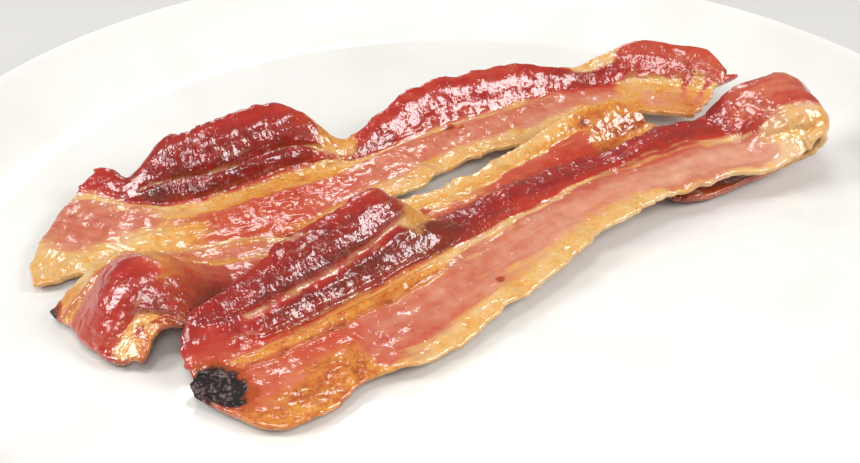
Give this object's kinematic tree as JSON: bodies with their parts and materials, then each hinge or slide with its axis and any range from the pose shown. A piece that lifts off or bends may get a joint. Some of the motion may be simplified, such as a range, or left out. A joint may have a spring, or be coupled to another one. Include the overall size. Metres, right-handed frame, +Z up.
{
  "type": "fried bacon strips on a plate",
  "caption": "Fried streaky bacon strips, wavy and curled, lying over one another on a plain round white plate.",
  "frame": {"origin": "centre of the plate's foot, on the table", "axes": "+Z up; the strips run roughly from -X to +X and away towards +Y; the viewer stands at -Y"},
  "size_m": [0.28, 0.28, 0.03],
  "materials": {
    "glaze": "white glossy glaze",
    "bacon_back": "fried bacon, moist and greasy",
    "bacon_middle": "fried bacon, moist and greasy",
    "bacon_front": "fried bacon, moist and greasy"
  },
  "bodies": {
    "root": {"plate": "glaze", "strip_back": "bacon_back", "strip_middle": "bacon_middle", "strip_front": "bacon_front"}
  },
  "joints": []
}
